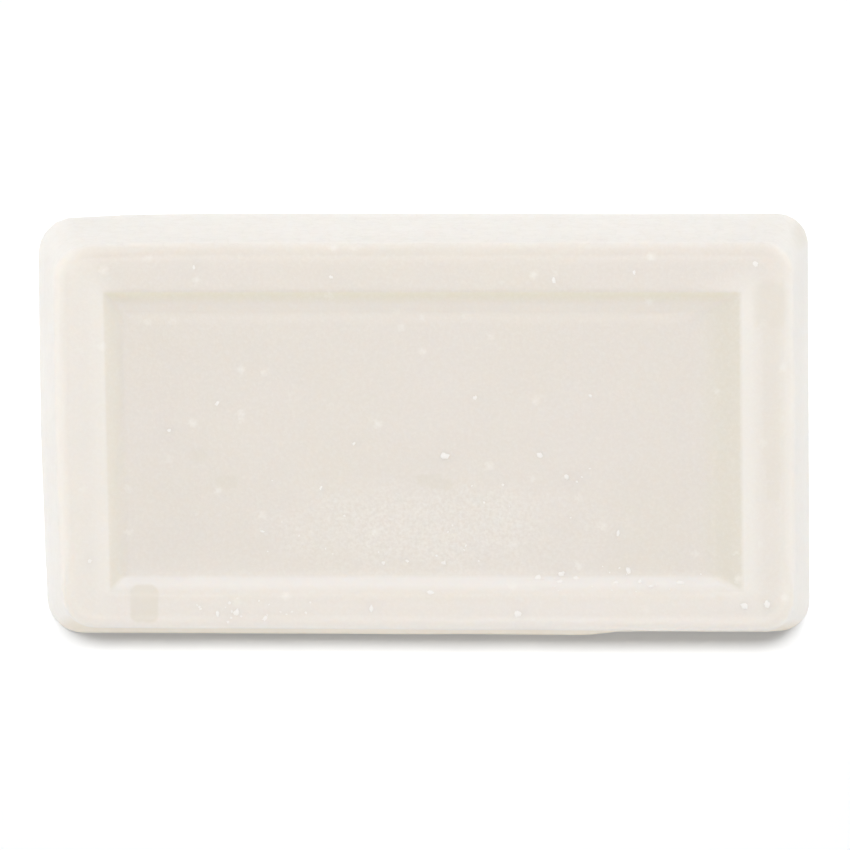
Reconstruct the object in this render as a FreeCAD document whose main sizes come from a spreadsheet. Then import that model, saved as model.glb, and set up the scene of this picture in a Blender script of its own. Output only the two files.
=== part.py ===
import FreeCAD, Part
import Sketcher
import math
import os

# A bar of soap, poured into a tray mould and turned out: one solid piece.
# The mould gives it drafted sides, a rounded top edge and a sunken panel. The open side of
# the mould leaves the flat face that the bar lies on. The frame has its origin in the middle
# of that face, +X along the bar, +Z up, and -Y at the front edge. Lengths are in millimetres.
# It is made as its mould is: a straight block, drafted, rounded, then the panel sunk into it.

NODE = "soap_bar"

SIZES = {
    # the whole bar, at the flat face that it lies on
    "bar_length": 90.0,
    "bar_width": 49.3,
    "bar_height": 24.0,
    "side_draft": 6.0,  # degrees from upright, narrowing upwards
    "left_corner_radius": 4.2,
    "right_corner_radius": 3.6,
    "top_edge_radius": 1.8,
    "base_edge_radius": 0.6,
    # how its outline leaves a true rectangle
    "left_end_bow": 1.15,
    "right_end_lean": 0.35,
    "back_droop": 0.7,
    "droop_length": 20.0,
    "front_lean": 0.3,
    "front_step": 0.45,
    "front_step_run": 6.6,
    "front_step_from_right": 20.8,
    # the sunken panel: from the outline to its mouth, then down its walls to the floor
    "rim_left": 8.2,
    "rim_right": 8.5,
    "rim_back": 8.0,
    "rim_front": 6.95,
    "panel_left_lean": 0.75,
    "panel_right_lean": 0.3,
    "panel_depth": 1.0,
    "wall_run_left": 1.5,
    "wall_run_right": 3.45,
    "wall_run_back": 1.75,
    "wall_run_front": 1.6,
    "mouth_edge_radius": 0.5,
    "front_mouth_radius": 3.0,
    "floor_edge_radius": 0.5,
}

# Points closer to a plane than this are taken to lie in it.
LEVEL = 1e-4

# The start of an expression that measures in from one side of the outline.
START = {
    "left": "-sizes.bar_length / 2 +",
    "right": "sizes.bar_length / 2 -",
    "front": "-sizes.bar_width / 2 +",
    "back": "sizes.bar_width / 2 -",
}
# The way out from the middle of the bar to each side of the panel.
OUTWARD = {
    "left": FreeCAD.Vector(-1, 0, 0),
    "right": FreeCAD.Vector(1, 0, 0),
    "front": FreeCAD.Vector(0, -1, 0),
    "back": FreeCAD.Vector(0, 1, 0),
}


def add_sheet(doc):
    """The spreadsheet of driving sizes, one cell with an alias for each."""
    sheet = doc.addObject("Spreadsheet::Sheet", "sizes")
    for row, (alias, value) in enumerate(SIZES.items(), start=1):
        sheet.set(f"A{row}", alias)
        sheet.set(f"B{row}", str(value))
        sheet.setAlias(f"B{row}", alias)
    doc.recompute()
    return sheet


def add_sketch(body, name, height="0 mm"):
    """A sketch laid on the body's own XY plane and lifted to a height, an expression."""
    sketch = body.newObject("Sketcher::SketchObject", name)
    plane = next(f for f in body.Origin.OriginFeatures if f.Role == "XY_Plane")
    sketch.AttachmentSupport = [(plane, "")]
    sketch.MapMode = "FlatFace"
    sketch.setExpression("AttachmentOffset.Base.z", height)
    return sketch


def inward(side, *aliases):
    """The expression for a place in from one side of the outline by the sum of some sizes."""
    total = " + ".join(f"sizes.{alias}" for alias in aliases) or "0"
    return f"{START[side]} ({total})"


def tie(sketch, geo, end, x=None, y=None):
    """Dimensions one end of a line or arc from the origin, by expressions."""
    at = sketch.getPoint(geo, end)
    for kind, now, rule in (("DistanceX", at.x, x), ("DistanceY", at.y, y)):
        if rule:
            index = sketch.addConstraint(Sketcher.Constraint(kind, -1, 1, geo, end, now))
            sketch.setExpression(f"Constraints[{index}]", rule)


def draw_outline(sketch, sheet):
    """The bar's outline: a rectangle whose left end bows in towards the front, whose right
    end and front edge lean, whose back edge droops to the left in a long arc, and whose front
    edge steps in through two arcs of one radius."""
    half_length = sheet.bar_length / 2
    half_width = sheet.bar_width / 2
    step_end = half_length - sheet.front_step_from_right
    step_start = step_end - sheet.front_step_run
    step_radius = (sheet.front_step_run**2 + sheet.front_step**2) / (4 * sheet.front_step)
    step_turn = math.asin(sheet.front_step_run / (2 * step_radius))
    droop_radius = (sheet.droop_length**2 + sheet.back_droop**2) / (2 * sheet.back_droop)
    droop_turn = math.asin(sheet.droop_length / droop_radius)
    droop_start = -half_length + sheet.droop_length
    down, up, left_hand = -math.pi / 2, math.pi / 2, math.pi

    def point(x, y):
        return FreeCAD.Vector(x, y, 0)

    def arc(x, y, radius, start, turn):
        circle = Part.Circle(point(x, y), FreeCAD.Vector(0, 0, 1), radius)
        return Part.ArcOfCircle(circle, start, start + turn)

    front_left = point(-half_length + sheet.left_end_bow, -half_width + sheet.front_lean)
    front_right = point(half_length, -half_width + sheet.front_step)
    back_right = point(half_length - sheet.right_end_lean, half_width)
    back_left = point(-half_length, half_width - sheet.back_droop)
    end_width = back_left.y - front_left.y
    bow_radius = (end_width**2 + sheet.left_end_bow**2) / (2 * sheet.left_end_bow)
    bow_turn = math.asin(end_width / bow_radius)
    front = sketch.addGeometry(Part.LineSegment(front_left, point(step_start, -half_width)))
    step_in = sketch.addGeometry(
        arc(step_start, -half_width + step_radius, step_radius, down, step_turn)
    )
    step_out = sketch.addGeometry(
        arc(step_end, front_right.y - step_radius, step_radius, up, step_turn)
    )
    front_end = sketch.addGeometry(Part.LineSegment(point(step_end, front_right.y), front_right))
    right = sketch.addGeometry(Part.LineSegment(front_right, back_right))
    back = sketch.addGeometry(Part.LineSegment(back_right, point(droop_start, half_width)))
    droop = sketch.addGeometry(
        arc(droop_start, half_width - droop_radius, droop_radius, up, droop_turn)
    )
    left = sketch.addGeometry(
        arc(-half_length + bow_radius, back_left.y, bow_radius, left_hand, bow_turn)
    )

    for kind, *ends in (
        ("Tangent", front, 2, step_in, 1),
        ("Tangent", step_in, 2, step_out, 2),
        ("Tangent", step_out, 1, front_end, 1),
        ("Coincident", front_end, 2, right, 1),
        ("Coincident", right, 2, back, 1),
        ("Tangent", back, 2, droop, 1),
        ("Coincident", droop, 2, left, 1),
        ("Coincident", left, 2, front, 1),
        ("Horizontal", front_end),
        ("Horizontal", back),
        ("Horizontal", left, 3, left, 1),
        ("Equal", step_in, step_out),
    ):
        sketch.addConstraint(Sketcher.Constraint(kind, *ends))
    tie(sketch, front, 1, inward("left", "left_end_bow"), inward("front", "front_lean"))
    step_place = ("front_step_from_right", "front_step_run")
    tie(sketch, front, 2, inward("right", *step_place), inward("front"))
    tie(sketch, front_end, 1, inward("right", "front_step_from_right"))
    tie(sketch, right, 1, inward("right"), inward("front", "front_step"))
    tie(sketch, right, 2, inward("right", "right_end_lean"), inward("back"))
    tie(sketch, back, 2, inward("left", "droop_length"))
    tie(sketch, left, 1, inward("left"), inward("back", "back_droop"))


def draw_mouth(sketch, sheet):
    """The panel's mouth: four sides, of which the left and the right lean."""
    half_length = sheet.bar_length / 2
    half_width = sheet.bar_width / 2
    low_x = -half_length + sheet.rim_left
    high_x = half_length - sheet.rim_right
    low_y = -half_width + sheet.rim_front
    high_y = half_width - sheet.rim_back
    corners = [
        FreeCAD.Vector(low_x + sheet.panel_left_lean, low_y, 0),
        FreeCAD.Vector(high_x, low_y, 0),
        FreeCAD.Vector(high_x - sheet.panel_right_lean, high_y, 0),
        FreeCAD.Vector(low_x, high_y, 0),
    ]
    sides = [
        sketch.addGeometry(Part.LineSegment(start, end))
        for start, end in zip(corners, corners[1:] + corners[:1])
    ]
    for side, after in zip(sides, sides[1:] + sides[:1]):
        sketch.addConstraint(Sketcher.Constraint("Coincident", side, 2, after, 1))
    front, right, back, left = sides
    for side in (front, back):
        sketch.addConstraint(Sketcher.Constraint("Horizontal", side))
    left_foot = inward("left", "rim_left", "panel_left_lean")
    right_head = inward("right", "rim_right", "panel_right_lean")
    tie(sketch, front, 1, left_foot, inward("front", "rim_front"))
    tie(sketch, right, 1, inward("right", "rim_right"))
    tie(sketch, back, 1, right_head, inward("back", "rim_back"))
    tie(sketch, left, 1, inward("left", "rim_left"))


def runs_between(shape, low, high):
    """Whether a face or edge runs from height low to height high."""
    box = shape.BoundBox
    return abs(box.ZMin - low) < LEVEL and abs(box.ZMax - high) < LEVEL


def names_of(shape, kind, wanted):
    """The names of a shape's Faces or Edges for which wanted is true."""
    items = enumerate(getattr(shape, f"{kind}s"), start=1)
    return [f"{kind}{number}" for number, item in items if wanted(item)]


def round_edges(doc, body, name, base, edges, radius):
    """A fillet of some edges of base, with its radius bound to a cell of the sheet."""
    fillet = body.newObject("PartDesign::Fillet", name)
    fillet.Base = (base, edges)
    fillet.setExpression("Radius", f"sizes.{radius}")
    doc.recompute()
    return fillet


def draft_faces(doc, body, name, base, faces, hinge, angle):
    """Leans faces of base over by an angle, an expression, about the flat face hinge."""
    draft = body.newObject("PartDesign::Draft", name)
    draft.Base = (base, faces)
    draft.NeutralPlane = (base, hinge)
    draft.setExpression("Angle", angle)
    doc.recompute()
    return draft


def add_block(doc, body, sheet):
    """The drafted block, with its upright corners, its top edge and its base edge rounded."""
    top = sheet.bar_height
    outline = add_sketch(body, "outline")
    draw_outline(outline, sheet)
    doc.recompute()
    block = body.newObject("PartDesign::Pad", "block")
    block.Profile = outline
    block.setExpression("Length", "sizes.bar_height")
    doc.recompute()

    base_face = names_of(block.Shape, "Face", lambda face: runs_between(face, 0, 0))
    sides = names_of(block.Shape, "Face", lambda face: runs_between(face, 0, top))
    block = draft_faces(doc, body, "side_draft", block, sides, base_face, "sizes.side_draft")
    for end, way in (("left", -1), ("right", 1)):
        near_end = sheet.bar_length / 2 - sheet.get(f"{end}_corner_radius")
        corners = names_of(
            block.Shape,
            "Edge",
            lambda edge: runs_between(edge, 0, top) and way * edge.CenterOfMass.x > near_end,
        )
        block = round_edges(doc, body, f"{end}_corners", block, corners, f"{end}_corner_radius")
    top_edges = names_of(block.Shape, "Edge", lambda edge: runs_between(edge, top, top))
    block = round_edges(doc, body, "top_edge", block, top_edges, "top_edge_radius")
    base_edges = names_of(block.Shape, "Edge", lambda edge: runs_between(edge, 0, 0))
    return round_edges(doc, body, "base_edge", block, base_edges, "base_edge_radius")


def add_panel(doc, body, sheet, block):
    """The sunken panel, a pocket whose four walls each lean out by a run of their own."""
    top = sheet.bar_height
    bottom = top - sheet.panel_depth
    mouth = add_sketch(body, "panel_mouth", "sizes.bar_height")
    draw_mouth(mouth, sheet)
    doc.recompute()
    opening = mouth.Shape.BoundBox
    opening.enlarge(LEVEL)
    panel = body.newObject("PartDesign::Pocket", "panel")
    panel.Profile = mouth
    panel.setExpression("Length", "sizes.panel_depth")
    doc.recompute()

    for side, way in OUTWARD.items():
        faces = panel.Shape.Faces
        walls = [face for face in faces if runs_between(face, bottom, top)]
        wall = max(walls, key=lambda face: face.CenterOfMass.dot(way))
        panel = draft_faces(
            doc,
            body,
            f"{side}_wall",
            panel,
            names_of(panel.Shape, "Face", lambda face: face.isSame(wall)),
            names_of(panel.Shape, "Face", lambda face: runs_between(face, top, top)),
            f"atan(sizes.wall_run_{side} / sizes.panel_depth)",
        )
    floor_edges = names_of(panel.Shape, "Edge", lambda edge: runs_between(edge, bottom, bottom))
    panel = round_edges(doc, body, "floor_edge", panel, floor_edges, "floor_edge_radius")

    def at_mouth(edge):
        return runs_between(edge, top, top) and opening.isInside(edge.BoundBox)

    def at_front(edge):
        return edge.BoundBox.YMax < opening.YMin + sheet.wall_run_front

    front_edge = names_of(panel.Shape, "Edge", lambda edge: at_mouth(edge) and at_front(edge))
    panel = round_edges(doc, body, "front_mouth", panel, front_edge, "front_mouth_radius")
    mouth_edges = names_of(
        panel.Shape, "Edge", lambda edge: at_mouth(edge) and not at_front(edge)
    )
    return round_edges(doc, body, "mouth_edge", panel, mouth_edges, "mouth_edge_radius")


def check_features(doc, body):
    """Stops at a feature that failed, and at a cut that takes nothing away."""
    for item in doc.Objects:
        if {"Invalid", "Error"} & set(item.State):
            raise RuntimeError(f"{item.Name} is {item.State}")
    solids = [item for item in body.Group if item.isDerivedFrom("PartDesign::Feature")]
    for before, item in zip([None] + solids, solids):
        if item.Shape.isNull() or not item.Shape.isValid():
            raise RuntimeError(f"{item.Name} has no valid shape")
        is_cut = item.TypeId == "PartDesign::Pocket"
        if is_cut and item.Shape.Volume > before.Shape.Volume - LEVEL:
            raise RuntimeError(f"{item.Name} cuts nothing away")
    if len(body.Shape.Solids) != 1:
        raise RuntimeError(f"{body.Label} is {len(body.Shape.Solids)} solids")


def main():
    doc = FreeCAD.newDocument("bar_of_soap")
    sheet = add_sheet(doc)
    body = doc.addObject("PartDesign::Body", NODE)
    body.Label = NODE
    body.Placement = FreeCAD.Placement()
    block = add_block(doc, body, sheet)
    add_panel(doc, body, sheet, block)
    doc.recompute()
    check_features(doc, body)

    os.makedirs("parts", exist_ok=True)
    body.Shape.exportStep(f"parts/{body.Label}.step")
    print(f"{body.Label}: {body.Shape.Volume:.1f} mm3")


main()
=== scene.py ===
import math
import random

import bmesh
import bpy
import numpy as np
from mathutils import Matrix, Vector, bvhtree, noise


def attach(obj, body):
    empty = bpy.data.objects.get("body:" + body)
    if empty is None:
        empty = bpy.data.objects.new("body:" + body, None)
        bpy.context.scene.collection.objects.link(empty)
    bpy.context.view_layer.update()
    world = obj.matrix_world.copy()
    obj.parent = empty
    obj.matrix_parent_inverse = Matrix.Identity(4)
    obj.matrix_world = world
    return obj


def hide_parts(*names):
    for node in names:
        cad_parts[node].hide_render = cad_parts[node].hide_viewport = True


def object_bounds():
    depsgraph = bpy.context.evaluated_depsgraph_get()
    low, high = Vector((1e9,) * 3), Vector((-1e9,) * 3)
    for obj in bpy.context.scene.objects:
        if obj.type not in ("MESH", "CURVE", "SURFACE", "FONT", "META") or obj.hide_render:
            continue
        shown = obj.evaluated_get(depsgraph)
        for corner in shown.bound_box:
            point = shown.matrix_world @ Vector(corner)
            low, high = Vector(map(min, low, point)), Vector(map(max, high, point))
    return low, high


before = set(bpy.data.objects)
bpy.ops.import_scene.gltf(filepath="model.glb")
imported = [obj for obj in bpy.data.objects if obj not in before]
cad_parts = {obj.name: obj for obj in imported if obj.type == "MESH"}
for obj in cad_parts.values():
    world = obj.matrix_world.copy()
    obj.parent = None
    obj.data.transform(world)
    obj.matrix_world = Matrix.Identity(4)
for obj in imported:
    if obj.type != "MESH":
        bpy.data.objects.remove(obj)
cad_low, cad_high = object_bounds()
scene = bpy.context.scene

# The bar itself: one piece of cream soap, poured into a tray mould and turned out.
# The mould left drafted sides, a rounded top edge and a sunken panel, all a little wavy.
# Its skin has shrunk back a little since, most of all on the broad top.
MM = 0.001
MESH_STEP = 0.42 * MM
SMOOTH_ROUNDS = 2
SETTLE_TOP = 0.12 * MM
SETTLE_SIDES = 0.01 * MM
WAVE_SIZE = 13 * MM
WAVE_DEPTH = 0.05 * MM
RIPPLE_SIZE = 3.2 * MM
RIPPLE_DEPTH = 0.02 * MM
WANDER_SIZE = 8 * MM
WANDER = 0.06 * MM  # how far the edges stray sideways from a straight line
BASE_SKIN = 1.5 * MM  # height over which the flat base passes into the wavy sides

# Right of the step in the front edge, the side wall stands steeper than elsewhere, so that
# the top edge runs on straight where the foot of the wall steps in.
STEP_X = (17.6 * MM, 24.2 * MM)
STEP_RISE = (1.0 * MM, 20.0 * MM)
STEP_REACH = (-18.6 * MM, -21.0 * MM)
STEP_DEPTH = 0.50 * MM

# The top edge is crisper along the front than its round in the solid, and softer elsewhere.
# The edge of the base is crisp all round. The rounds are those of the solid.
EDGE_ROUND = 1.8 * MM
BASE_ROUND = 0.6 * MM
EDGE_IN = 0.16 * MM
CRISPNESS = 5.0  # power of the curve of the front edge's section: 2 is a circle
TIPPED = (0.05, 0.15)  # height of a normal over which a side starts to count as an edge
FRONT_REACH = (-13.0 * MM, -18.0 * MM)
RIM_MIDDLE_X = (38.8 * MM, 39.8 * MM)
RIM_MIDDLE_Y = (18.6 * MM, 19.6 * MM)


def remeshed(node, step):
    """An even copy of a CAD node's mesh, with its faces joined up."""
    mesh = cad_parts[node].data.copy()
    joined = bmesh.new()
    joined.from_mesh(mesh)
    bmesh.ops.remove_doubles(joined, verts=joined.verts, dist=step / 100)
    joined.to_mesh(mesh)
    joined.free()
    piece = bpy.data.objects.new(node, mesh)
    scene.collection.objects.link(piece)
    even = piece.modifiers.new("even", "REMESH")
    even.mode = "VOXEL"
    even.voxel_size = step
    even.use_smooth_shade = True
    soften = piece.modifiers.new("soften", "SMOOTH")
    soften.factor = 0.5
    soften.iterations = SMOOTH_ROUNDS
    view = bpy.context.evaluated_depsgraph_get()
    finished = bpy.data.meshes.new_from_object(piece.evaluated_get(view))
    bpy.data.objects.remove(piece)
    return finished


def read_all(mesh, name):
    """The places or the normals of a mesh's points, one row for each."""
    flat = np.empty(len(mesh.vertices) * 3)
    mesh.vertices.foreach_get(name, flat)
    return flat.reshape(-1, 3)


def field(places, size, offset):
    """Noise from -1 to 1 with lumps of about the given size; each offset is a new pattern."""
    apart = Vector((offset, offset * 1.7, offset * 2.3))
    return np.array([noise.noise(Vector(place) / size + apart) for place in places])


def ease(values, ends):
    """Nought at the first end, one at the second, and a soft S between them."""
    share = np.clip((values - ends[0]) / (ends[1] - ends[0]), 0, 1)
    return share * share * (3 - 2 * share)


soap_mesh = remeshed("soap_bar", MESH_STEP)
soap_mesh.name = "poured_soap"
points = read_all(soap_mesh, "co")
normals = read_all(soap_mesh, "normal")
skin = ease(points[:, 2], (0, BASE_SKIN))
steeper = ease(points[:, 0], STEP_X) * ease(points[:, 2], STEP_RISE)
steeper *= ease(points[:, 1], STEP_REACH)
points[:, 0] += WANDER * skin * field(points, WANDER_SIZE, 3.0)
points[:, 1] += WANDER * skin * field(points, WANDER_SIZE, 11.0) - STEP_DEPTH * steeper
settled = SETTLE_SIDES + (SETTLE_TOP - SETTLE_SIDES) * np.clip(normals[:, 2], 0, 1)
lift = WAVE_DEPTH * field(points, WAVE_SIZE, 23.0) - settled
lift += RIPPLE_DEPTH * field(points, RIPPLE_SIZE, 31.0)
outward = np.hypot(normals[:, 0], normals[:, 1])
upward = np.abs(normals[:, 2])
at_edge = np.maximum(
    ease(np.abs(points[:, 0]), RIM_MIDDLE_X), ease(np.abs(points[:, 1]), RIM_MIDDLE_Y)
)
at_front = ease(points[:, 1], FRONT_REACH)
squarer = (outward**CRISPNESS + upward**CRISPNESS) ** (-1 / CRISPNESS) - 1
halfway_round = 4 * np.square(outward * upward)  # 1 in the middle of an edge's round
at_edge *= ease(normals[:, 2], TIPPED)
lift += EDGE_ROUND * squarer * at_edge * at_front
lift -= EDGE_IN * halfway_round * at_edge * (1 - at_front)
lift *= skin
lift += BASE_ROUND * squarer * ease(-normals[:, 2], TIPPED)
points += lift[:, None] * normals

# How far up each wall of the sunken panel a point is: 0 at the wall's foot, 1 at the panel's
# mouth and more on the rim. Kept once for the two end walls and once for the two long ones.
# All of the walls but the front one run softly out into the panel's floor.
MOUTH_LEFT, MOUTH_LEFT_LEAN, LEFT_RUN = -36.8 * MM, 0.75 * MM, 1.5 * MM
MOUTH_RIGHT, MOUTH_RIGHT_LEAN, RIGHT_RUN = 36.2 * MM, 0.3 * MM, 3.45 * MM
MOUTH_BACK, BACK_RUN = 16.65 * MM, 1.75 * MM
MOUTH_FRONT, FRONT_RUN = -17.7 * MM, 1.6 * MM
FOOT_FILL = 0.14 * MM
FOOT_REACH = 0.6
x, y = points[:, 0], points[:, 1]
forward = (MOUTH_BACK - y) / (MOUTH_BACK - MOUTH_FRONT)
end_climb = np.where(
    x < 0,
    1 + (MOUTH_LEFT + MOUTH_LEFT_LEAN * forward - x) / LEFT_RUN,
    1 + (x - MOUTH_RIGHT - MOUTH_RIGHT_LEAN * forward) / RIGHT_RUN,
)
long_climb = np.where(y < 0, 1 + (MOUTH_FRONT - y) / FRONT_RUN, 1 + (y - MOUTH_BACK) / BACK_RUN)
climb = np.where(y < 0, end_climb, np.maximum(end_climb, long_climb))
points[:, 2] += FOOT_FILL * np.square(np.clip(1 - np.abs(climb) / FOOT_REACH, 0, 1))
points = np.clip(points, np.array(cad_low), np.array(cad_high))
soap_mesh.vertices.foreach_set("co", points.ravel())
soap_mesh.update()
for name, values in (("end_climb", end_climb), ("long_climb", long_climb)):
    kept = soap_mesh.attributes.new(name, "FLOAT", "POINT")
    kept.data.foreach_set("value", values)

bar = bpy.data.objects.new("poured_bar", soap_mesh)
scene.collection.objects.link(bar)


def place(tree, kind, inputs=None, **settings):
    """Adds a node with its settings, and gives each named input a socket or a value."""
    node = tree.nodes.new(kind)
    for name, value in settings.items():
        setattr(node, name, value)
    for name, value in (inputs or {}).items():
        if isinstance(value, bpy.types.NodeSocket):
            tree.links.new(value, node.inputs[name])
        else:
            node.inputs[name].default_value = value
    return node


def tint(red, green, blue):
    """A colour as the eye reads it, 0 to 255, turned into what a shader takes."""
    channels = []
    for value in (red, green, blue):
        share = value / 255
        channels.append(share / 12.92 if share <= 0.04045 else ((share + 0.055) / 1.055) ** 2.4)
    return (*channels, 1.0)


def new_group(name, inputs, outputs):
    """An empty shader node group with named inputs (kind, default) and outputs (kind)."""
    tree = bpy.data.node_groups.new(name, "ShaderNodeTree")
    for label, (kind, default) in inputs.items():
        socket = tree.interface.new_socket(label, in_out="INPUT", socket_type=kind)
        socket.default_value = default
    for label, kind in outputs.items():
        tree.interface.new_socket(label, in_out="OUTPUT", socket_type=kind)
    asks = tree.nodes.new("NodeGroupInput").outputs
    gives = tree.nodes.new("NodeGroupOutput").inputs
    return tree, asks, gives


def work(tree, operation, *values):
    """Arithmetic on one, two or three values."""
    return place(tree, "ShaderNodeMath", dict(enumerate(values)), operation=operation).outputs[0]


def shift(tree, operation, *values):
    """Arithmetic on one or two vectors."""
    inputs = dict(enumerate(values))
    return place(tree, "ShaderNodeVectorMath", inputs, operation=operation).outputs[0]


def spread(tree, value, low, high, to_low=0.0, to_high=1.0, soft=False):
    """Stretches a value from low and high to the new ends, and holds it between them."""
    inputs = {"Value": value, "From Min": low, "From Max": high}
    inputs |= {"To Min": to_low, "To Max": to_high}
    kind = "SMOOTHSTEP" if soft else "LINEAR"
    return place(tree, "ShaderNodeMapRange", inputs, interpolation_type=kind).outputs[0]


def blend(tree, under, over, mask):
    """Lays one colour over another where the mask is 1."""
    mix = place(tree, "ShaderNodeMix", data_type="RGBA")
    for socket, value in ((mix.inputs[0], mask), (mix.inputs[6], under), (mix.inputs[7], over)):
        if isinstance(value, bpy.types.NodeSocket):
            tree.links.new(value, socket)
        else:
            socket.default_value = value
    return mix.outputs[2]


def between(tree, low, high, mask):
    """Goes from one value to another as the mask goes from 0 to 1."""
    return place(tree, "ShaderNodeMix", {0: mask, 2: low, 3: high}).outputs[0]


def clouds(tree, where, size, detail=3.0, roughness=0.5):
    """Noise from 0 to 1 with lumps of about the given size."""
    inputs = {"Vector": where, "Scale": 1 / size, "Detail": detail, "Roughness": roughness}
    return place(tree, "ShaderNodeTexNoise", inputs).outputs["Fac"]


FLOAT, VECTOR = "NodeSocketFloat", "NodeSocketVector"

# Fine frost: the crystals that dry out of the soap, as a height and as a mask of the
# places where they lie thickest. The bar and the crumbs on it both have it.
THICK_FROST = (0.45, 0.68)
frost, asks, gives = new_group(
    "frost",
    {"Vector": (VECTOR, (0, 0, 0)), "Lumps per metre": (FLOAT, 3000.0)},
    {"Height": FLOAT, "Mask": FLOAT},
)
fine = place(
    frost,
    "ShaderNodeTexNoise",
    {
        "Vector": asks["Vector"],
        "Scale": asks["Lumps per metre"],
        "Detail": 4.0,
        "Roughness": 0.65,
    },
)
frost.links.new(fine.outputs["Fac"], gives["Height"])
frost.links.new(spread(frost, fine.outputs["Fac"], *THICK_FROST), gives["Mask"])

# A smear: a small block with rounded corners where something damp has lain against the soap
# and cleared it. Its edge is crisp and a little ragged.
RAGGED = 0.35 * MM
RAG_SIZE = 1.3 * MM
smear, asks, gives = new_group(
    "smear",
    {
        "Vector": (VECTOR, (0, 0, 0)),
        "Middle": (VECTOR, (0, 0, 0)),
        "Half size": (VECTOR, (0.001, 0.001, 0)),
        "Corner": (FLOAT, 0.0005),
        "Softness": (FLOAT, 0.0002),
    },
    {"Mask": FLOAT},
)
ragged = place(
    smear, "ShaderNodeTexNoise", {"Vector": asks["Vector"], "Scale": 1 / RAG_SIZE, "Detail": 2.0}
)
strayed = shift(smear, "SUBTRACT", ragged.outputs["Color"], (0.5, 0.5, 0.5))
strayed = shift(smear, "MULTIPLY", strayed, (RAGGED, RAGGED, 0))
from_middle = shift(smear, "SUBTRACT", asks["Vector"], asks["Middle"])
from_middle = shift(smear, "ADD", from_middle, strayed)
beyond = shift(smear, "ABSOLUTE", from_middle)
beyond = shift(smear, "SUBTRACT", beyond, asks["Half size"])
corner = place(smear, "ShaderNodeCombineXYZ", {"X": asks["Corner"], "Y": asks["Corner"]})
beyond = shift(smear, "ADD", beyond, corner.outputs[0])
beyond = shift(smear, "MAXIMUM", beyond, (0, 0, 0))
beyond = shift(smear, "MULTIPLY", beyond, (1, 1, 0))
length = place(smear, "ShaderNodeVectorMath", {0: beyond}, operation="LENGTH").outputs["Value"]
outside = work(smear, "SUBTRACT", length, asks["Corner"])
outside = work(smear, "DIVIDE", outside, asks["Softness"])
smear.links.new(spread(smear, outside, 1.0, -1.0, soft=True), gives["Mask"])

# Cream soap: waxy, a little clear, so that light passes some way into it before it comes out.
# Its own colour wanders between two tones in broad patches.
PINKISH = tint(229, 222, 214)
GREENISH = tint(229, 222, 212)
# Frost white, used for real frost and flecks and also as painted highlights.
FROST_AND_HIGHLIGHT = tint(246, 243, 237)
# Bloom tones, partly painted light on the outer sides, the lighter one higher up.
LOW_BLOOM_AND_LIGHT = tint(244, 240, 234)
HIGH_BLOOM_AND_LIGHT = tint(249, 243, 236)
# Rosy tone, painted light on the front wall, rim and edge.
ROSE_PAINTED_LIGHT = tint(241, 236, 231)
# Panel wall tones, painted light and shade: lighter on the left and back walls, yellower on the
# right wall and darker under the back mouth.
CLEAR_RIM = tint(223, 216, 202)
LEFT_WALL_LIGHT = tint(233, 227, 216)
RIGHT_WALL_TONE_AND_SHADE = tint(228, 222, 210)
BACK_WALL_LIGHT = tint(236, 229, 220)
BACK_MOUTH_SHADE = tint(232, 226, 210)
# Painted light and shade for the front side: light enough to lift its shade, and yellow, as it
# looks in shade.
FRONT_SIDE_LIGHT_AND_SHADE = tint(238, 227, 209)
COLOUR_PATCH = 14 * MM
PATCH_EDGES = (0.35, 0.65)
GRAIN_SIZE = 0.45 * MM

soap = bpy.data.materials.new("cream_soap")
soap.use_nodes = True
tree = soap.node_tree
shader = tree.nodes["Principled BSDF"]
where = place(tree, "ShaderNodeTexCoord").outputs["Object"]
spot = place(tree, "ShaderNodeSeparateXYZ", {"Vector": where}).outputs
facing = place(tree, "ShaderNodeNewGeometry").outputs["Normal"]
facing = place(tree, "ShaderNodeSeparateXYZ", {"Vector": facing}).outputs
patches = spread(tree, clouds(tree, where, COLOUR_PATCH), *PATCH_EDGES)
tone = blend(tree, PINKISH, GREENISH, patches)
grain = place(tree, "ShaderNodeGroup", node_tree=frost)
tree.links.new(where, grain.inputs["Vector"])
grain.inputs["Lumps per metre"].default_value = 1 / GRAIN_SIZE

# The walls of the sunken panel, all but the front one, get tones of their own that are painted
# light and shade. Lighter tones on the left and back walls and over the back wall's foot lift
# the shade that falls there. A yellower tone on the right wall is partly painted shade, and a
# darker one just under the back mouth is painted shade. They stop crisply at the panel's mouth,
# meet in mitres and fade softly into its floor.
# From here on a change runs from the first of its values to the second, and where it has four,
# its strength runs from the third to the fourth. What happens along a wall is in climbs.
MOUTH_BLUR = 0.07
MITRE_BLUR = 0.25
WALL_FOOT_LIGHT_FADE = (-0.5, 0.3)
BACK_FOOT_LIGHT_FADE = (-1.2, -0.2)
BACK_MOUTH_SHADE_FADE = (0.25, 0.8)
end_climb = place(tree, "ShaderNodeAttribute", attribute_name="end_climb").outputs["Fac"]
long_climb = place(tree, "ShaderNodeAttribute", attribute_name="long_climb").outputs["Fac"]
climb = work(tree, "MAXIMUM", end_climb, long_climb)
lead = work(tree, "SUBTRACT", long_climb, end_climb)
behind = work(tree, "GREATER_THAN", spot["Y"], 0.0)
before = work(tree, "SUBTRACT", 1.0, behind)
on_right = work(tree, "GREATER_THAN", spot["X"], 0.0)
on_long = spread(tree, lead, -MITRE_BLUR, MITRE_BLUR)
rim = spread(tree, climb, 1 - MOUTH_BLUR, 1 + MOUTH_BLUR)
on_end = work(tree, "SUBTRACT", 1.0, on_long)
painted_end_walls = work(tree, "SUBTRACT", spread(tree, climb, *WALL_FOOT_LIGHT_FADE), rim)
painted_end_walls = work(tree, "MULTIPLY", painted_end_walls, on_end)
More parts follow.
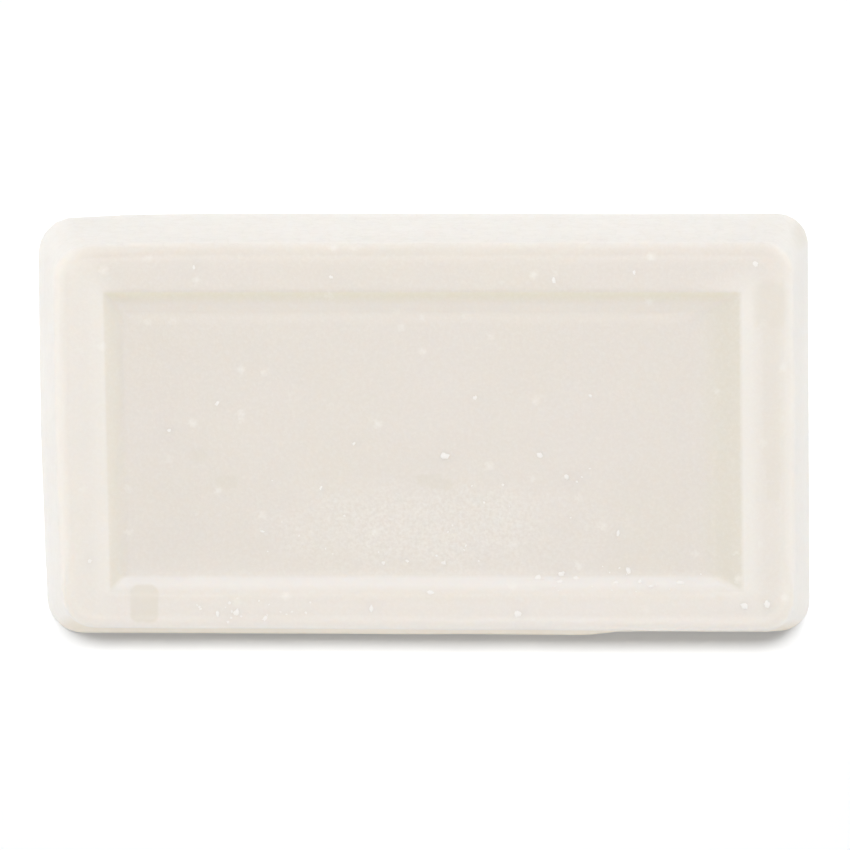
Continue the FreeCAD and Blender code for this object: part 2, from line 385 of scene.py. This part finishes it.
painted_back_wall = work(tree, "SUBTRACT", spread(tree, climb, *BACK_FOOT_LIGHT_FADE), rim)
painted_back_wall = work(tree, "MULTIPLY", work(tree, "MULTIPLY", painted_back_wall, on_long), behind)
back_wall_light_and_shade = blend(tree, BACK_WALL_LIGHT, BACK_MOUTH_SHADE, spread(tree, long_climb, *BACK_MOUTH_SHADE_FADE))
colour = blend(tree, tone, blend(tree, LEFT_WALL_LIGHT, RIGHT_WALL_TONE_AND_SHADE, on_right), painted_end_walls)
colour = blend(tree, colour, back_wall_light_and_shade, painted_back_wall)

# Pale frost that is partly painted highlight lies in a strip beside the mouth's ends, where the
# rounded inner edges catch the light, and again along the right edge of the rim. On the front,
# rosy frost is painted light. It starts crisply at the foot of the front wall, which faces the
# light, is thinnest around the mouth, whose edge is lit already, and thicker again on the rim
# and at its edge, where it lifts the shade. Around the corners both fade.
FROST_HIGHLIGHT_LEFT = (1.7, 2.4, 0.42, 0.32)
FROST_HIGHLIGHT_RIGHT = (1.3, 1.75, 0.5, 0.2)
FROST_HIGHLIGHT_EDGE = (2.1, 2.5, 0.0, 0.22)
RIM_CORNER = (-1.0, 2.5)
BACK_FROST_HIGHLIGHT = 0.02
FRONT_LIGHT_FOOT = (-0.15, 0.1)
FRONT_WALL_LIGHT = (0.55, 1.15, 1.0, 0.12)
FRONT_RIM_LIGHT = (1.5, 2.0, 0.0, 0.25)
FRONT_EDGE_LIGHT = (2.7, 3.2, 0.0, 0.2)
frost_highlight_right = spread(tree, end_climb, *FROST_HIGHLIGHT_RIGHT)
frost_highlight_right = work(tree, "ADD", frost_highlight_right, spread(tree, end_climb, *FROST_HIGHLIGHT_EDGE))
frost_highlight_strip = between(tree, spread(tree, end_climb, *FROST_HIGHLIGHT_LEFT), frost_highlight_right, on_right)
corner = spread(tree, lead, *RIM_CORNER, soft=True)
back_rim = work(tree, "MULTIPLY", corner, behind)
end_frost_highlight = between(tree, frost_highlight_strip, BACK_FROST_HIGHLIGHT, back_rim)
end_frost_highlight = work(tree, "MULTIPLY", end_frost_highlight, rim)
front_painted_light = spread(tree, long_climb, *FRONT_WALL_LIGHT)
front_painted_light = work(tree, "ADD", front_painted_light, spread(tree, long_climb, *FRONT_RIM_LIGHT))
front_painted_light = work(tree, "ADD", front_painted_light, spread(tree, long_climb, *FRONT_EDGE_LIGHT))
front_painted_light = work(tree, "MULTIPLY", front_painted_light, spread(tree, long_climb, *FRONT_LIGHT_FOOT))
on_front = work(tree, "MULTIPLY", before, between(tree, on_long, corner, rim))
frost_and_painted_light = between(tree, end_frost_highlight, front_painted_light, on_front)
colour = blend(tree, colour, blend(tree, FROST_AND_HIGHLIGHT, ROSE_PAINTED_LIGHT, on_front), frost_and_painted_light)

# Small pale flecks with soft edges are scattered over the top.
FLECK_SPACING = 2.6 * MM
FLECK_REACH = (0.26, 0.04)
FLECK_SHARE = (0.72, 0.78)
FLECK_STRENGTH = 0.5
FLECK_RAG = 0.35
MOTTLE_SIZE = 0.4 * MM
apart = shift(tree, "DIVIDE", where, (FLECK_SPACING, FLECK_SPACING, FLECK_SPACING))
rag = place(tree, "ShaderNodeTexNoise", {"Vector": where, "Scale": 1 / MOTTLE_SIZE})
rag = shift(tree, "SUBTRACT", rag.outputs["Color"], (0.5, 0.5, 0.5))
rag = shift(tree, "MULTIPLY", rag, (FLECK_RAG, FLECK_RAG, FLECK_RAG))
flecks = place(
    tree, "ShaderNodeTexVoronoi", {"Vector": shift(tree, "ADD", apart, rag), "Scale": 1.0}
)
chosen = place(tree, "ShaderNodeSeparateColor", {"Color": flecks.outputs["Color"]}).outputs[0]
fleck = spread(tree, flecks.outputs["Distance"], *FLECK_REACH)
fleck = work(tree, "MULTIPLY", fleck, spread(tree, chosen, *FLECK_SHARE))
colour = blend(tree, colour, FROST_AND_HIGHLIGHT, work(tree, "MULTIPLY", fleck, FLECK_STRENGTH))

# The chalky bloom lies on the outer sides but the front one, and fades away over the edge. It is
# partly real bloom and partly painted light, standing in for the light that falls on those
# sides, and it is lighter towards their top, which is painted light too. It has dried into a net
# of hairline cracks.
TURNED = (0.85, 0.2)
BLOOM_LIGHTER_UP = (3 * MM, 16 * MM)
OUTER_CLIMB = (1.9, 2.3)
FACING_FRONT = (-0.97, -0.8, 0.05, 1.0)
BLOOM_PATCH = 1.6 * MM
BLOOM_DETAIL, BLOOM_ROUGHNESS = 5.0, 0.65
BLOOM_THINNED = (0.3, 0.6, 0.75, 1.0)
CRACK_SPACING = 2.2 * MM
CRACKED = (0.0, 0.05, 0.7, 1.0)
bloom_and_light_sides = spread(tree, facing["Z"], *TURNED)
bloom_and_light_sides = work(tree, "MULTIPLY", bloom_and_light_sides, spread(tree, climb, *OUTER_CLIMB))
bloom_and_light_sides = work(tree, "MULTIPLY", bloom_and_light_sides, spread(tree, facing["Y"], *FACING_FRONT))
bloom = clouds(tree, where, BLOOM_PATCH, BLOOM_DETAIL, BLOOM_ROUGHNESS)
bloom = spread(tree, bloom, *BLOOM_THINNED)
bent = shift(tree, "DIVIDE", where, (CRACK_SPACING, CRACK_SPACING, CRACK_SPACING))
cracks = place(
    tree,
    "ShaderNodeTexVoronoi",
    {"Vector": shift(tree, "ADD", bent, rag), "Scale": 1.0},
    feature="DISTANCE_TO_EDGE",
)
unbroken = spread(tree, cracks.outputs["Distance"], *CRACKED)
bloom = work(tree, "MULTIPLY", bloom, unbroken)
bloom_and_light_tone = blend(tree, LOW_BLOOM_AND_LIGHT, HIGH_BLOOM_AND_LIGHT, spread(tree, spot["Z"], *BLOOM_LIGHTER_UP))
colour = blend(tree, colour, bloom_and_light_tone, work(tree, "MULTIPLY", bloom_and_light_sides, bloom))

# A cloud of frost lies on the panel towards the front, and a thin mottle lies everywhere.
CLOUD_MIDDLE = (0.2 * MM, -10.4 * MM, 0)
CLOUD_HALF = (20 * MM, 5.4 * MM, 1)
CLOUD_EDGE = 4 * MM  # size of the lumps that its edge breaks up into
CLOUD_FADE = (1.75, 0.9, 0.1, 0.5)
MOTTLE_DETAIL, MOTTLE_ROUGHNESS = 4.0, 0.6
MOTTLE_EDGES = (0.38, 0.72)
GRAIN_STRENGTH = 0.15
off_cloud = shift(tree, "SUBTRACT", where, CLOUD_MIDDLE)
off_cloud = shift(tree, "DIVIDE", off_cloud, CLOUD_HALF)
off_cloud = shift(tree, "MULTIPLY", off_cloud, (1, 1, 0))
reach = place(tree, "ShaderNodeVectorMath", {0: off_cloud}, operation="LENGTH").outputs["Value"]
reach = work(tree, "ADD", reach, clouds(tree, where, CLOUD_EDGE))
cloud = spread(tree, reach, *CLOUD_FADE, soft=True)
mottle = clouds(tree, where, MOTTLE_SIZE, MOTTLE_DETAIL, MOTTLE_ROUGHNESS)
haze = work(tree, "MULTIPLY", spread(tree, mottle, *MOTTLE_EDGES), cloud)
colour = blend(tree, colour, FROST_AND_HIGHLIGHT, haze)
thin_frost = work(tree, "MULTIPLY", grain.outputs["Mask"], GRAIN_STRENGTH)
colour = blend(tree, colour, FROST_AND_HIGHLIGHT, thin_frost)

# Painted light and shade on the front side below its top edge: a tone lighter than the soap that
# lifts the shade falling there, and yellow, as that side looks in its shade.
FRONT_SIDE_PAINT_BELOW = (23 * MM, 20 * MM)
FRONT_SIDE_PAINT_FACING = (-0.6, -0.9)
front_side_paint = spread(tree, spot["Z"], *FRONT_SIDE_PAINT_BELOW)
front_side_paint = work(tree, "MULTIPLY", front_side_paint, spread(tree, facing["Y"], *FRONT_SIDE_PAINT_FACING))
colour = blend(tree, colour, FRONT_SIDE_LIGHT_AND_SHADE, front_side_paint)

# Smears where damp has cleared the soap again: on the rim at the front left and at the right
# end, and a few small ones in the panel.
SMEARS = {
    # middle, half sizes and corner radius in millimetres, how clear it is from 0 to 1, and
    # how soft its edge is in millimetres
    "front_left": ((-32.1, -19.1), (1.6, 2.15), 0.9, 0.5, 0.2),
    "back_right": ((39.6, 15.1), (1.85, 2.75), 1.5, 0.28, 0.5),
    "back_right_corner": ((43.7, 22.6), (1.0, 1.4), 1.0, 0.45, 0.9),
    "right_stripe": ((39.8, 5.2), (1.0, 8.6), 0.6, 0.15, 0.4),
    "right_end_upper": ((40.0, -3.5), (0.85, 1.45), 0.2, 0.2, 0.12),
    "right_end_lower": ((40.0, -6.1), (0.75, 1.1), 0.2, 0.2, 0.12),
    "middle": ((0.6, -5.0), (1.5, 0.7), 0.6, 0.35, 0.2),
    "middle_end": ((1.9, -5.5), (1.3, 0.6), 0.5, 0.35, 0.2),
    "left": ((-22.6, -5.2), (1.3, 0.7), 0.6, 0.3, 0.25),
    "far_left": ((-25.9, -2.1), (1.0, 0.8), 0.7, 0.25, 0.3),
}
rubbed = 0.0
for middle, half, radius, clearness, softness in SMEARS.values():
    mark = place(tree, "ShaderNodeGroup", node_tree=smear)
    tree.links.new(where, mark.inputs["Vector"])
    mark.inputs["Middle"].default_value = (middle[0] * MM, middle[1] * MM, 0)
    mark.inputs["Half size"].default_value = (half[0] * MM, half[1] * MM, 0)
    mark.inputs["Corner"].default_value = radius * MM
    mark.inputs["Softness"].default_value = softness * MM
    cleared = work(tree, "MULTIPLY", mark.outputs["Mask"], clearness)
    rubbed = work(tree, "MAXIMUM", rubbed, cleared)
colour = blend(tree, colour, CLEAR_RIM, rubbed)
tree.links.new(colour, shader.inputs["Base Color"])
shader.inputs["Roughness"].default_value = 0.5
dimples = place(
    tree,
    "ShaderNodeBump",
    {"Height": grain.outputs["Height"], "Strength": 0.3, "Distance": 0.05 * MM},
)
tree.links.new(dimples.outputs["Normal"], shader.inputs["Normal"])
shader.inputs["Subsurface Weight"].default_value = 0.6
shader.inputs["Subsurface Radius"].default_value = (1.0, 0.85, 0.7)
shader.inputs["Subsurface Scale"].default_value = 1.5 * MM
shader.inputs["IOR"].default_value = 1.45
soap_mesh.materials.clear()
soap_mesh.materials.append(soap)
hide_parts("soap_bar")
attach(bar, "root")

# Crumbs of dried soap: small flat flakes that have come off edges and stuck on again where
# they fell, thickest along the front of the panel, and a dust of finer ones around them.
CRUMBS = [
    # the middle of each flake and how broad it is, in millimetres
    (2.3, -2.2, 0.55),
    (13.2, -2.1, 0.38),
    (16.3, -4.6, 0.34),
    (-23.8, 3.8, 0.34),
    (-29.3, 0.7, 0.26),
    (-10.7, 18.4, 0.28),
    (-26.4, 19.5, 0.26),
    (19.0, 4.7, 0.26),
    (5.8, 4.5, 0.28),
    (14.8, 18.0, 0.42),
    (37.9, 19.9, 0.38),
    (24.0, 18.9, 0.26),
    (13.0, -16.3, 0.44),
    (15.7, -15.8, 0.46),
    (15.5, -16.7, 0.38),
    (17.4, -16.3, 0.38),
    (23.4, -15.4, 0.48),
    (29.4, -16.8, 0.46),
    (21.9, -16.8, 0.36),
    (24.7, -16.7, 0.34),
    (26.0, -17.2, 0.34),
    (0.7, -17.9, 0.44),
    (10.7, -20.3, 0.44),
    (36.7, -19.4, 0.48),
    (39.3, -19.2, 0.46),
    (22.2, -11.1, 0.36),
    (2.2, -14.5, 0.28),
    (-21.6, -20.1, 0.46),
    (-23.7, -20.3, 0.36),
    (-18.3, -20.8, 0.36),
    (-6.1, -19.7, 0.42),
    (-38.4, -14.2, 0.28),
    (-18.6, -10.9, 0.28),
    (-2.0, -14.3, 0.26),
    (-4.7, -14.5, 0.26),
    (-11.9, -5.9, 0.26),
    (-8.1, -0.8, 0.24),
]
DUST_COUNT = 60
DUST_AREAS = [
    # the middle of an area, its half length and half width
    (4.0, -9.0, 22.0, 6.0),
    (22.0, -16.4, 10.0, 1.6),
    (-20.0, -20.0, 7.0, 1.6),
]
DUST_SIZES = (0.10, 0.2)
BREADTH = 1.8  # how much broader each flake is than the clear white spot in its middle
FLATNESS = 0.06  # height of a flake over its breadth
TOP_SPARE = 0.01 * MM  # kept free between the highest crumb and the top of the solid's box
NARROWER = (0.5, 0.9)  # how wide a flake is over its breadth
ROUGH_SHARE = 0.7  # how far a flake's outline strays, in shares of its breadth
ROUGH_TURNS = 3.5  # how many times the outline goes in and out, about
WELL_ABOVE = 1.0  # height from which each flake is dropped on the bar, in metres
random.seed(7)
pieces = list(CRUMBS)
for _ in range(DUST_COUNT):
    middle_x, middle_y, half_length, half_width = random.choice(DUST_AREAS)
    dust_x = middle_x + half_length * random.uniform(-1, 1)
    dust_y = middle_y + half_width * random.uniform(-1, 1)
    pieces.append((dust_x, dust_y, random.uniform(*DUST_SIZES)))

surface = bmesh.new()
surface.from_mesh(soap_mesh)
seats = bvhtree.BVHTree.FromBMesh(surface)
surface.free()
flakes = bmesh.new()
for x, y, size in pieces:
    seat = seats.ray_cast(Vector((x * MM, y * MM, WELL_ABOVE)), Vector((0, 0, -1)))[0]
    breadth = BREADTH * size * MM
    height = min(FLATNESS * breadth, cad_high[2] - TOP_SPARE - seat.z)
    turn = random.uniform(0, math.pi)
    narrow = random.uniform(*NARROWER)
    drift = Vector((random.uniform(0, 100), random.uniform(0, 100), random.uniform(0, 100)))
    made = bmesh.ops.create_icosphere(flakes, subdivisions=2, radius=0.5)
    for vertex in made["verts"]:
        spread_out = 1 + ROUGH_SHARE * noise.noise(vertex.co * ROUGH_TURNS + drift)
        along = vertex.co.x * breadth * spread_out
        aside = vertex.co.y * breadth * narrow * spread_out
        across = along * math.cos(turn) - aside * math.sin(turn)
        back = along * math.sin(turn) + aside * math.cos(turn)
        up = vertex.co.z * height * (2 if vertex.co.z > 0 else 1)  # the rest has sunk in
        vertex.co = seat + Vector((across, back, up))
crumb_mesh = bpy.data.meshes.new("soap_crumbs")
flakes.to_mesh(crumb_mesh)
flakes.free()

CRYSTAL = tint(248, 245, 241)
DULL_CRYSTAL = tint(241, 236, 230)
CRYSTAL_SIZE = 0.1 * MM
dry_soap = bpy.data.materials.new("dry_soap")
dry_soap.use_nodes = True
tree = dry_soap.node_tree
shader = tree.nodes["Principled BSDF"]
where = place(tree, "ShaderNodeTexCoord").outputs["Object"]
grain = place(tree, "ShaderNodeGroup", node_tree=frost)
tree.links.new(where, grain.inputs["Vector"])
grain.inputs["Lumps per metre"].default_value = 1 / CRYSTAL_SIZE
colour = blend(tree, CRYSTAL, DULL_CRYSTAL, grain.outputs["Mask"])
tree.links.new(colour, shader.inputs["Base Color"])
shader.inputs["Roughness"].default_value = 0.6
shader.inputs["IOR"].default_value = 1.45
crumb_mesh.materials.append(dry_soap)
crumbs = bpy.data.objects.new("soap_crumbs", crumb_mesh)
scene.collection.objects.link(crumbs)
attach(crumbs, "root")

# The floor of the studio: white, and it only keeps the bar's shadow. The soap's cream colour
# is thrown back into that shadow, and the floor's own faint bluish glow evens it out to grey.
FLOOR_HALF = 1.15
FLOOR_LIFT = 0.05
GLOW_COLOUR = (0.45, 0.7, 1.0, 1.0)
floor_mesh = bpy.data.meshes.new("floor")
corners = [(-FLOOR_HALF, -FLOOR_HALF), (FLOOR_HALF, -FLOOR_HALF)]
corners += [(FLOOR_HALF, FLOOR_HALF), (-FLOOR_HALF, FLOOR_HALF)]
floor_mesh.from_pydata([(x, y, 0) for x, y in corners], [], [(0, 1, 2, 3)])
floor = bpy.data.objects.new("floor", floor_mesh)
scene.collection.objects.link(floor)
paper = bpy.data.materials.new("white_paper")
paper.use_nodes = True
tree = paper.node_tree
tree.nodes.clear()
rays = place(tree, "ShaderNodeLightPath").outputs
seen = work(tree, "MAXIMUM", rays["Is Camera Ray"], rays["Is Glossy Ray"])
seen = work(tree, "MAXIMUM", seen, rays["Is Transmission Ray"])
matt = place(tree, "ShaderNodeBsdfDiffuse", {"Color": (1, 1, 1, 1)})
glow = place(
    tree,
    "ShaderNodeEmission",
    {"Color": GLOW_COLOUR, "Strength": work(tree, "MULTIPLY", seen, FLOOR_LIFT)},
)
both = place(tree, "ShaderNodeAddShader", {0: matt.outputs[0], 1: glow.outputs[0]})
place(tree, "ShaderNodeOutputMaterial", {"Surface": both.outputs[0]})
floor_mesh.materials.append(paper)

# The studio's light: a bright room, a narrow soft lamp overhead and a little towards the back,
# which throws the one shadow, and low soft lamps all round, which skim over the top.
# The room itself shows as plain white, and the lamps don't show.
ROOM = 0.21
world = bpy.data.worlds.new("room")
scene.world = world
world.use_nodes = True
tree = world.node_tree
tree.nodes.clear()
rays = place(tree, "ShaderNodeLightPath").outputs
strength = spread(tree, rays["Is Camera Ray"], 0.0, 1.0, ROOM, 1.0)
air = place(tree, "ShaderNodeBackground", {"Color": (1, 1, 1, 1), "Strength": strength})
place(tree, "ShaderNodeOutputWorld", {"Surface": air.outputs[0]})

LAMPS = {
    # the way to it and how far it is, its width and height, and the light it gives the bar
    "overhead": ((0.0, 0.151, 1.0), 1.8, (0.30, 0.13), 0.712),
    "back": ((0.0, 1.0, 0.08), 1.2, (1.2, 0.14), 0.16),
    "left_end": ((-1.0, 0.0, 0.08), 1.2, (0.9, 0.14), 0.27),
    "right_end": ((1.0, 0.0, 0.08), 1.2, (0.9, 0.14), 0.21),
    "front": ((0.0, -1.0, 0.08), 1.2, (1.2, 0.14), 0.22),
}
for name, (way, distance, (width, height), level) in LAMPS.items():
    light = bpy.data.lights.new(name, "AREA")
    light.shape = "RECTANGLE"
    light.size, light.size_y = width, height
    light.energy = level * (math.pi * distance) ** 2  # watts for that level on a white face
    lamp = bpy.data.objects.new(name, light)
    lamp.location = Vector(way).normalized() * distance
    lamp.rotation_euler = (-Vector(way)).to_track_quat("-Z", "Y").to_euler()
    lamp.visible_camera = False
    scene.collection.objects.link(lamp)

# The camera looks down on the bar, from a little behind the upright.
CAMERA_AWAY = 1.5
CAMERA_TILT = math.radians(3.6)
FRAME_WIDTH = 98.98 * MM
AIM = Vector((0.06 * MM, -0.09 * MM, 0.0))
lens = bpy.data.cameras.new("camera")
lens.sensor_width = 36.0
lens.lens = lens.sensor_width * CAMERA_AWAY / FRAME_WIDTH
camera = bpy.data.objects.new("camera", lens)
camera.location = AIM + CAMERA_AWAY * Vector((0, math.sin(CAMERA_TILT), math.cos(CAMERA_TILT)))
camera.rotation_euler = (-CAMERA_TILT, 0, 0)
scene.collection.objects.link(camera)
scene.camera = camera
scene.view_settings.view_transform = "Standard"
